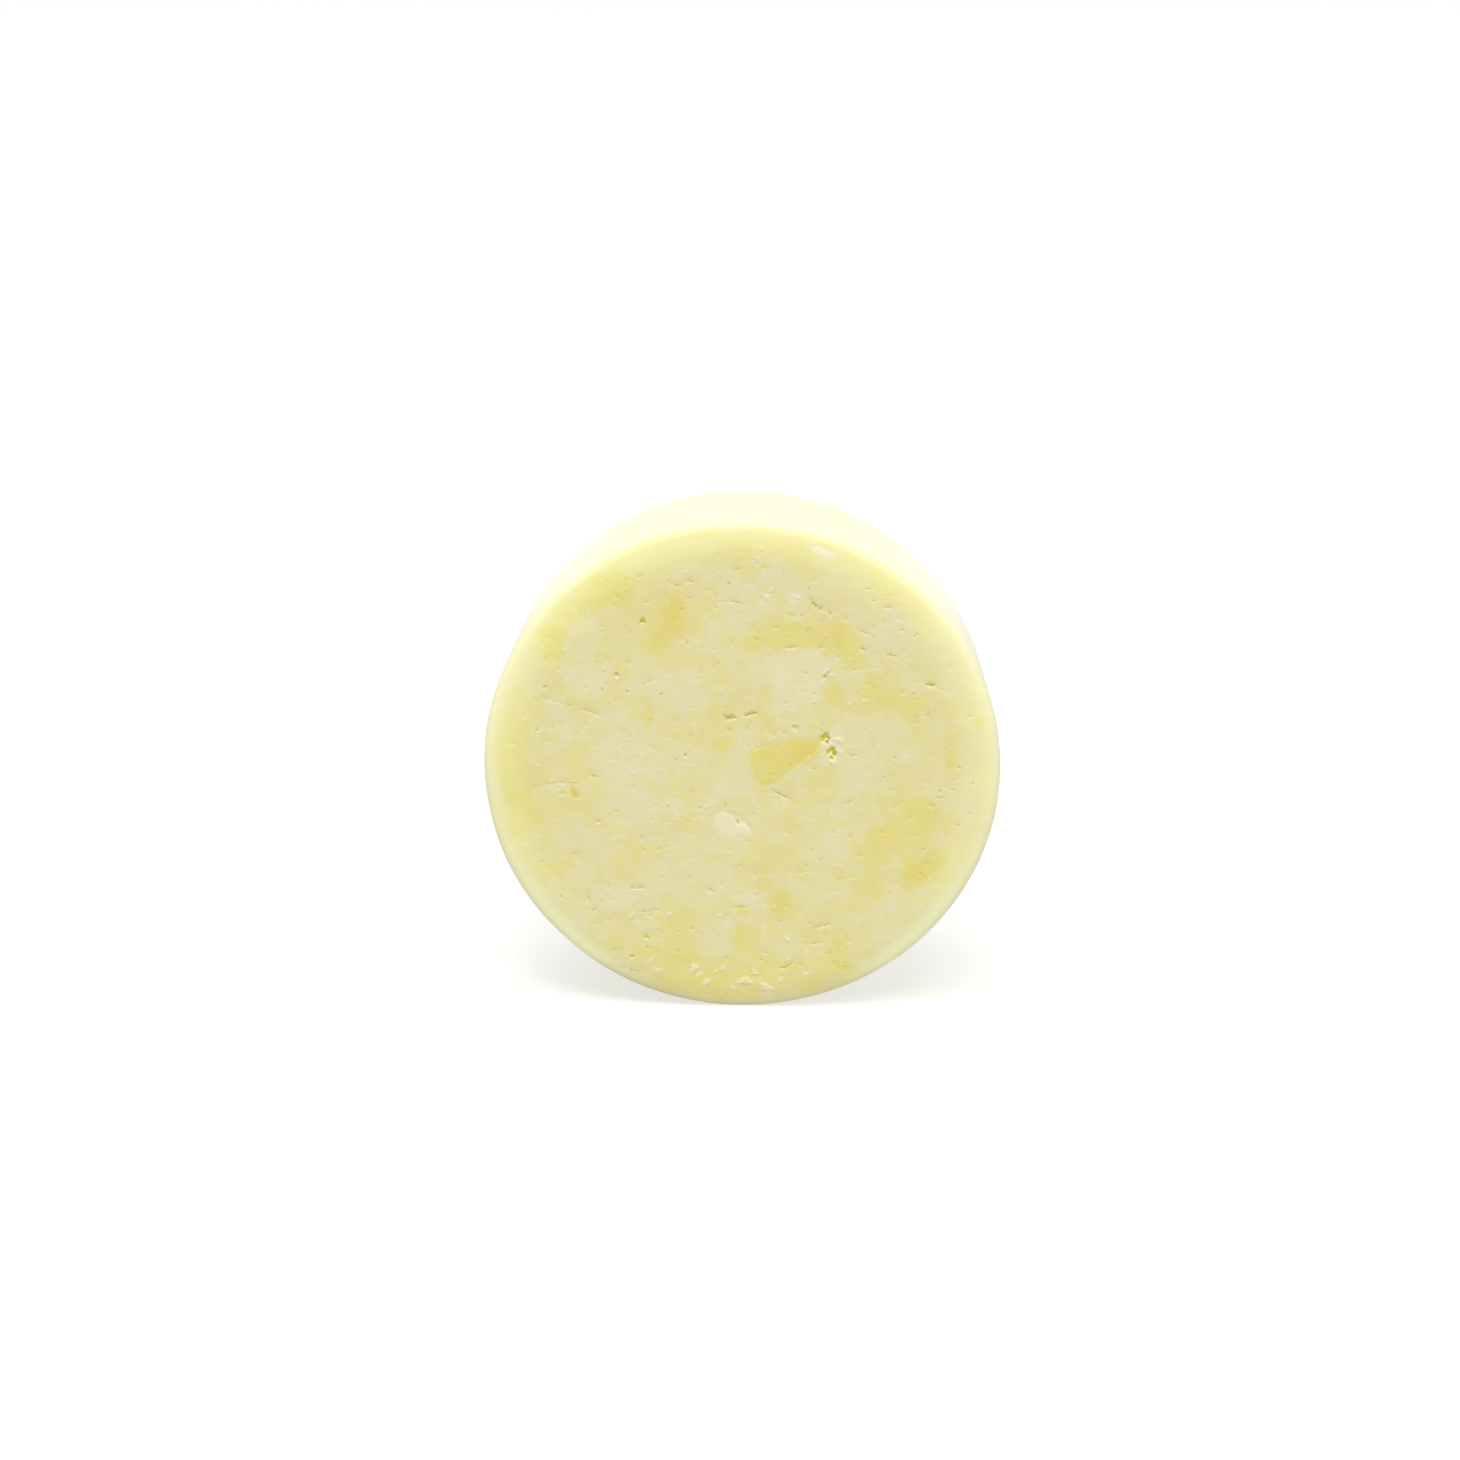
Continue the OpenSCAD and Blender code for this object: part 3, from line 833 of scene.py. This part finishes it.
def piece(name, tris, pockets, filled):
    """A closed mesh: some triangles of the skin, and the walls and floor of each pocket, which
    is a ring and a depth. The piece fills its pockets, as a chip, or surrounds them."""
    used, local = np.unique(tris, return_inverse=True)
    where = {g: i for i, g in enumerate(used)}
    verts, count = [sunk[used]], len(used)
    fields = {k: [v[used]] for k, v in FIELDS.items()}
    faces = [local.reshape(-1, 3)]
    for ring, depth in pockets:
        inward = -outward[ring[0]]
        base = points[ring] + inward * depth
        base[:, 2] += CENTRE_Z
        verts.append(base)
        for k, v in FIELDS.items():
            fields[k].append(v[ring])
        top = np.array([where[g] for g in ring])
        low = count + np.arange(len(ring))
        count += len(ring)
        walls, floor = wall_triangles(top, low), low[floor_triangles(ring)]
        as_made = filled != (inward[1] < 0)
        faces += [walls, floor[:, ::-1]] if as_made else [walls[:, ::-1], floor]
    verts, faces = np.vstack(verts), np.vstack(faces)
    corner_normals = np.vstack([normals[tris].reshape(-1, 3), flat_normals(verts, faces[len(tris) :])])
    mesh = bpy.data.meshes.new(name)
    mesh.from_pydata((verts * MM).tolist(), [], faces.tolist())
    mesh.polygons.foreach_set("use_smooth", np.ones(len(faces), bool))
    mesh.normals_split_custom_set(corner_normals.tolist())
    for key, parts in fields.items():
        layer = mesh.attributes.new(key, "FLOAT", "POINT")
        layer.data.foreach_set("value", np.concatenate(parts).astype(np.float32))
    made = bpy.data.objects.new(name, mesh)
    bpy.context.scene.collection.objects.link(made)
    return made


def node_depth(node):
    """How far a chip's CAD node reaches into the paste."""
    low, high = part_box(node)
    return (high.y - low.y) / MM


pieces = {}
pockets = [(ring, node_depth(name)) for ring, (name, _) in zip(rings, named_rings)]
pieces["soap_paste"] = piece("soap_paste_body", triangles[owner == -1], pockets, False)
for node in CHIP_NODES:
    mine = [k for k, (name, _) in enumerate(named_rings) if name == node]
    own_pockets = [pockets[k] for k in mine]
    pieces[node] = piece(node + "_soap", triangles[np.isin(owner, mine)], own_pockets, True)


# ---------------------------------------------------------------- materials
# The mix node's two colour inputs and its colour output, which share names with other sockets.
MIX_FROM, MIX_TO, MIX_RESULT = 6, 7, 2


class Nodes:
    """A short way to write a material's nodes."""

    def __init__(self, name):
        self.material = bpy.data.materials.new(name)
        self.material.use_nodes = True
        self.tree = self.material.node_tree
        self.shader = self.tree.nodes["Principled BSDF"]
        self.coords = self.tree.nodes.new("ShaderNodeTexCoord").outputs["Object"]

    def link(self, source, target):
        """Joins a socket or sets a number."""
        if hasattr(source, "links"):
            self.tree.links.new(source, target)
        else:
            target.default_value = source

    def attribute(self, name):
        """One of the fields that the mesh carries."""
        made = self.tree.nodes.new("ShaderNodeAttribute")
        made.attribute_name = name
        return made.outputs["Fac"]

    def mapped(self, size, stretch, seed=0.0, turn=0.0):
        """The object's coordinates in units of size metres, stretched, moved and turned."""
        made = self.tree.nodes.new("ShaderNodeMapping")
        made.inputs["Scale"].default_value = [1 / (size * s) for s in stretch]
        made.inputs["Location"].default_value = (seed, 2 * seed, 3 * seed)
        made.inputs["Rotation"].default_value = (0, turn, 0)
        self.tree.links.new(self.coords, made.inputs["Vector"])
        return made.outputs["Vector"]

    def noise(self, size, detail=3.0, roughness=0.55, stretch=(1, 1, 1), seed=0.0):
        """A noise whose blobs are about size metres wide."""
        made = self.tree.nodes.new("ShaderNodeTexNoise")
        made.inputs["Scale"].default_value = 1.0
        made.inputs["Detail"].default_value = detail
        made.inputs["Roughness"].default_value = roughness
        self.tree.links.new(self.mapped(size, stretch, seed), made.inputs["Vector"])
        return made.outputs["Fac"]

    def shreds(self, size, stretch):
        """A random value for each of the pressed shreds, whose borders wander."""
        place = self.mapped(size, stretch, turn=SHRED_TURN)
        wander = self.tree.nodes.new("ShaderNodeTexNoise")
        wander.inputs["Scale"].default_value = SHRED_WANDER
        wander.inputs["Detail"].default_value = 3.0
        self.tree.links.new(place, wander.inputs["Vector"])
        moved = self.tree.nodes.new("ShaderNodeVectorMath")
        moved.operation = "ADD"
        self.tree.links.new(place, moved.inputs[0])
        self.tree.links.new(wander.outputs["Color"], moved.inputs[1])
        made = self.tree.nodes.new("ShaderNodeTexVoronoi")
        made.feature = "SMOOTH_F1"
        made.inputs["Scale"].default_value = 1.0
        made.inputs["Smoothness"].default_value = SHRED_SOFTNESS
        self.tree.links.new(moved.outputs["Vector"], made.inputs["Vector"])
        parts = self.tree.nodes.new("ShaderNodeSeparateColor")
        self.tree.links.new(made.outputs["Color"], parts.inputs["Color"])
        return parts.outputs["Red"]

    def ramp(self, value, low, high, out_low=0.0, out_high=1.0):
        """A soft step from out_low at low to out_high at high."""
        made = self.tree.nodes.new("ShaderNodeMapRange")
        made.interpolation_type = "SMOOTHSTEP"
        self.link(value, made.inputs["Value"])
        made.inputs["From Min"].default_value = low
        made.inputs["From Max"].default_value = high
        made.inputs["To Min"].default_value = out_low
        made.inputs["To Max"].default_value = out_high
        return made.outputs["Result"]

    def maths(self, operation, a, b):
        """A sum, product or such of two sockets."""
        made = self.tree.nodes.new("ShaderNodeMath")
        made.operation = operation
        self.link(a, made.inputs[0])
        self.link(b, made.inputs[1])
        return made.outputs["Value"]

    def mix(self, factor, a, b):
        """Colour a where the factor is 0 and colour b where it is 1."""
        made = self.tree.nodes.new("ShaderNodeMix")
        made.data_type = "RGBA"
        self.link(factor, made.inputs["Factor"])
        for value, socket in ((a, made.inputs[MIX_FROM]), (b, made.inputs[MIX_TO])):
            if isinstance(value, tuple):
                socket.default_value = (*value, 1.0)
            else:
                self.tree.links.new(value, socket)
        return made.outputs[MIX_RESULT]

    def bump(self, height, distance, normal=None):
        """A relief of this many metres, on top of another one if it is given."""
        made = self.tree.nodes.new("ShaderNodeBump")
        made.inputs["Distance"].default_value = distance
        made.inputs["Strength"].default_value = 1.0
        self.link(height, made.inputs["Height"])
        if normal is not None:
            self.tree.links.new(normal, made.inputs["Normal"])
        return made.outputs["Normal"]


# How bright the lights make the upright cut face, against a surface that shows its own colour.
FACE_LIGHT = 1.45


def tone(red, green, blue):
    """The colour of a surface that shows as this 0 to 255 sRGB tone on the lit cut face."""
    parts = [v / 255 for v in (red, green, blue)]
    plain = [v / 12.92 if v <= 0.04045 else ((v + 0.055) / 1.055) ** 2.4 for v in parts]
    return tuple(v / FACE_LIGHT for v in plain)


PASTE = tone(227, 216, 152)
PASTE_TAN = tone(226, 215, 147)
PASTE_OLIVE = tone(226, 216, 138)
PASTE_PALE = tone(227, 221, 177)
AMBER = tone(225, 212, 109)
AMBER_YELLOW = tone(226, 216, 115)
# The amber rim tone is painted light: a glow of light through the soap near its edge.
AMBER_GLOW = tone(233, 225, 132)
ORANGE_TONE = tone(224, 192, 92)
IVORY = tone(225, 221, 181)
IVORY_WARM = tone(229, 221, 180)
FLAKE = tone(241, 234, 201)
CHALK = tone(238, 226, 198)
# The rim tone is painted light: a glow of light scattered through the soap near its edge.
RIM_GLOW = tone(238, 231, 166)
# The edge tone is painted light: a pale glow along the cut face's edge.
EDGE_GLOW = tone(243, 242, 193)
SIDE = tone(231, 226, 191)
SIDE_PALE = tone(236, 233, 212)
PIT = tone(240, 240, 80)
# Cracks are darker olive: partly the crack's own tone, partly painted shade in its groove.
CRACK_TONE_AND_SHADE = tone(184, 178, 96)
# Painted shade: the dark line where the puck's foot meets the floor.
CONTACT_SHADE_TONE = tone(176, 158, 104)

# Sizes in metres: of the broad clouds, the blotches, the pressed shreds, the specks and the grain.
CLOUD_SIZE = 0.0050
BLOTCH_SIZE = 0.0023
SHRED_SIZE = 0.0032
SPECK_SIZE = 0.0005
GRAIN_SIZE = 0.00022
# How the shreds lie, in radians, how finely their borders wander and how soft these are.
SHRED_TURN = 0.3
SHRED_WANDER = 2.2
SHRED_SOFTNESS = 0.35
# Heights in metres of the specks and the grain.
SPECK_HEIGHT = 0.000035
GRAIN_HEIGHT = 0.000015
# How much smoother and rougher than its mean the soap gets, and its refractive index.
SMOOTHER, ROUGHER = 0.07, 0.09
SOAP_IOR = 1.46

# The colours of marks: field, where the colour begins and where it is full, how strong, and tone.
MARKS = [
    ("crumb", 0.15, 0.8, 0.6, CHALK),
    # The crack tone is partly the crack's own and partly painted shade in its groove.
    ("crack", 0.15, 0.7, 0.8, CRACK_TONE_AND_SHADE),
    ("pit", 0.1, 0.6, 1.0, PIT),
    # Painted shade where the foot meets the floor.
    ("contact_shade", 0.1, 0.7, 0.8, CONTACT_SHADE_TONE),
]


def paste_colour(n, clouds, shred, blotch):
    """The paste: two tones in broad clouds, olive and pale shreds, and pale blotches."""
    colour = n.mix(n.ramp(clouds, 0.42, 0.60), PASTE, PASTE_TAN)
    colour = n.mix(n.ramp(shred, 0.46, 0.30, 0, 0.4), colour, PASTE_OLIVE)
    colour = n.mix(n.ramp(shred, 0.52, 0.70, 0, 0.45), colour, PASTE_PALE)
    colour = n.mix(n.ramp(blotch, 0.42, 0.66, 0, 0.5), colour, PASTE_PALE)
    # The rim zone's tone is painted glow of light through the soap near its edge.
    return n.mix(n.ramp(n.attribute("rim"), 0.05, 0.95, 0, 0.85), colour, RIM_GLOW)


def with_ivory(n, colour, blotch):
    """Ivory soap over the colour; an accented chip covers it wholly."""
    ivory_tone = n.mix(n.ramp(blotch, 0.40, 0.60), IVORY, IVORY_WARM)
    cover = n.maths("MAXIMUM", n.ramp(blotch, 0.34, 0.62, 0.45, 1.0), n.attribute("accent"))
    return n.mix(n.maths("MULTIPLY", n.attribute("ivory"), cover), colour, ivory_tone)


def with_amber(n, colour, clouds, blotch):
    """Amber soap over the colour: orange where accented, and yellower in the rim zone, where it
    takes the painted glow of light through the soap's edge.
    """
    amber_tone = n.mix(n.ramp(clouds, 0.42, 0.58), AMBER, AMBER_YELLOW)
    amber_tone = n.mix(n.attribute("accent"), amber_tone, ORANGE_TONE)
    amber_tone = n.mix(n.ramp(n.attribute("rim"), 0.2, 1.0), amber_tone, AMBER_GLOW)
    cover = n.ramp(blotch, 0.30, 0.62, 1.0, 0.75)
    return n.mix(n.maths("MULTIPLY", n.attribute("amber"), cover), colour, amber_tone)


def with_glow_and_side(n, colour, shred):
    """The painted glow at the cut face's edge, the white flakes, and the bloom on the side, which is
    painted paler where it faces the light above.
    """
    # Painted light: the pale glow along the cut face's edge.
    colour = n.mix(n.attribute("edge"), colour, EDGE_GLOW)
    flake = n.maths("MULTIPLY", n.attribute("accent"), n.attribute("ivory"))
    colour = n.mix(flake, colour, FLAKE)
    bloom = n.ramp(shred, 0.34, 0.52, 0.72, 1.0)
    # The side's pale tone is stronger where it faces up: painted light from above.
    colour = n.mix(n.maths("MULTIPLY", n.attribute("side"), bloom), colour, SIDE)
    return n.mix(n.maths("MULTIPLY", n.attribute("backward"), bloom), colour, SIDE_PALE)


def with_marks(n, colour, speck, chalk):
    """White and tan specks, the colours in crumbs and pits, the crack tone with its painted shade,
    and the painted contact shade at the foot.
    """
    colour = n.mix(n.ramp(speck, 0.60, 0.74, 0, 0.6 * chalk), colour, CHALK)
    colour = n.mix(n.ramp(speck, 0.42, 0.28, 0, 0.2), colour, PASTE_TAN)
    for field, low, high, strength, mark_tone in MARKS:
        colour = n.mix(n.ramp(n.attribute(field), low, high, 0, strength), colour, mark_tone)
    return colour


def soap(name, roughness, chalk):
    """The soap of one slot. The mesh's fields blend paste, amber and ivory in all of them; chalk
    is how strong the white specks are."""
    n = Nodes(name)
    clouds = n.noise(CLOUD_SIZE, detail=2.0, seed=3.1)
    blotch = n.noise(BLOTCH_SIZE, stretch=(1.15, 1, 1), seed=7.7)
    speck = n.noise(SPECK_SIZE, roughness=0.6, stretch=(1.8, 1, 1), seed=5.9)
    grain = n.noise(GRAIN_SIZE, roughness=0.6, seed=1.3)
    shred = n.shreds(SHRED_SIZE, (1.2, 1, 1))
    colour = paste_colour(n, clouds, shred, blotch)
    colour = with_ivory(n, colour, blotch)
    colour = with_amber(n, colour, clouds, blotch)
    colour = with_glow_and_side(n, colour, shred)
    n.link(with_marks(n, colour, speck, chalk), n.shader.inputs["Base Color"])
    worn = n.ramp(blotch, 0.3, 0.7, roughness - SMOOTHER, roughness + ROUGHER)
    n.link(worn, n.shader.inputs["Roughness"])
    n.shader.inputs["IOR"].default_value = SOAP_IOR
    fine = n.bump(grain, GRAIN_HEIGHT)
    n.link(n.bump(speck, SPECK_HEIGHT, normal=fine), n.shader.inputs["Normal"])
    return n.material


MATERIALS = {
    "soap_paste": soap("pale_soap_paste", 0.55, 0.6),
    "amber_soap": soap("amber_soap_chip", 0.42, 0.25),
    "ivory_soap": soap("ivory_soap_chip", 0.66, 0.8),
}
SLOTS = {row["node"]: row["material_slot"] for row in frame["record"]["subparts"]}
for node, made in pieces.items():
    made.data.materials.append(MATERIALS[SLOTS[node]])
    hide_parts(node)
    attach(made, "root")


# ---------------------------------------------------------------- floor, light and camera
# The floor is a wide sheet of white paper, in metres, a hair below the puck. It glows a little,
# so that it shows as white and the puck's shadow on it stays soft and pale.
FLOOR_HALF = 40.0
FLOOR_DROP = 0.00002
FLOOR_COLOUR = (0.22, 0.22, 0.22, 1)
FLOOR_LIGHT = (1.0, 0.995, 0.94, 1)
FLOOR_GLOW = 0.68
FLOOR_ROUGHNESS = 0.9


def white_floor():
    """The floor, which isn't part of the object."""
    h, z = FLOOR_HALF, -FLOOR_DROP
    mesh = bpy.data.meshes.new("floor")
    mesh.from_pydata([(-h, -h, z), (h, -h, z), (h, h, z), (-h, h, z)], [], [(0, 1, 2, 3)])
    made = bpy.data.objects.new("floor", mesh)
    bpy.context.scene.collection.objects.link(made)
    n = Nodes("white_paper")
    n.shader.inputs["Base Color"].default_value = FLOOR_COLOUR
    n.shader.inputs["Roughness"].default_value = FLOOR_ROUGHNESS
    n.shader.inputs["Specular IOR Level"].default_value = 0.0
    n.shader.inputs["Emission Color"].default_value = FLOOR_LIGHT
    n.shader.inputs["Emission Strength"].default_value = FLOOR_GLOW
    mesh.materials.append(n.material)


# Two soft lights nearly overhead: how many degrees each leans to the front and to the right.
SOFTBOXES = [("softbox_right", 22, 7), ("softbox_left", 11, -7)]
SOFTBOX_ENERGY = 1.95
SOFTBOX_SPREAD = math.radians(28)
WORLD_STRENGTH = 1.0


def lights():
    """An even white world and the two soft lights."""
    world = bpy.data.worlds.new("studio")
    world.use_nodes = True
    world.node_tree.nodes["Background"].inputs["Color"].default_value = (1, 1, 1, 1)
    world.node_tree.nodes["Background"].inputs["Strength"].default_value = WORLD_STRENGTH
    bpy.context.scene.world = world
    for name, front, right in SOFTBOXES:
        data = bpy.data.lights.new(name, "SUN")
        data.energy = SOFTBOX_ENERGY
        data.angle = SOFTBOX_SPREAD
        made = bpy.data.objects.new(name, data)
        made.rotation_euler = Euler((math.radians(front), math.radians(right), 0))
        bpy.context.scene.collection.objects.link(made)


# Where the camera stands, seen from the middle of the cut face, and how far its aim is off it.
CAMERA_TURN = math.radians(1.27)
CAMERA_RISE = math.radians(20.57)
CAMERA_DISTANCE = 7.95 * PUCK_R * MM
AIM_UP = math.radians(1.28)
AIM_LEFT = math.radians(0.314)
# Focal length and sensor width in mm, and how far the camera sees, in metres.
LENS = 50.9
SENSOR_WIDTH = 36.0
CLIP_END = 200.0


def camera():
    """The camera, in front of the puck and a little above it."""
    data = bpy.data.cameras.new("camera")
    data.lens = LENS
    data.sensor_width = SENSOR_WIDTH
    data.clip_end = CLIP_END
    made = bpy.data.objects.new("camera", data)
    face = Vector((0, -HALF_T * MM, CENTRE_Z * MM))
    level = math.cos(CAMERA_RISE)
    away = Vector((math.sin(CAMERA_TURN) * level, -math.cos(CAMERA_TURN) * level, math.sin(CAMERA_RISE)))
    made.location = face + away * CAMERA_DISTANCE
    straight = (-away).to_track_quat("-Z", "Y")
    made.rotation_euler = (straight @ Euler((AIM_UP, AIM_LEFT, 0)).to_quaternion()).to_euler()
    bpy.context.scene.collection.objects.link(made)
    bpy.context.scene.camera = made


white_floor()
lights()
camera()
bpy.context.scene.view_settings.view_transform = "Standard"
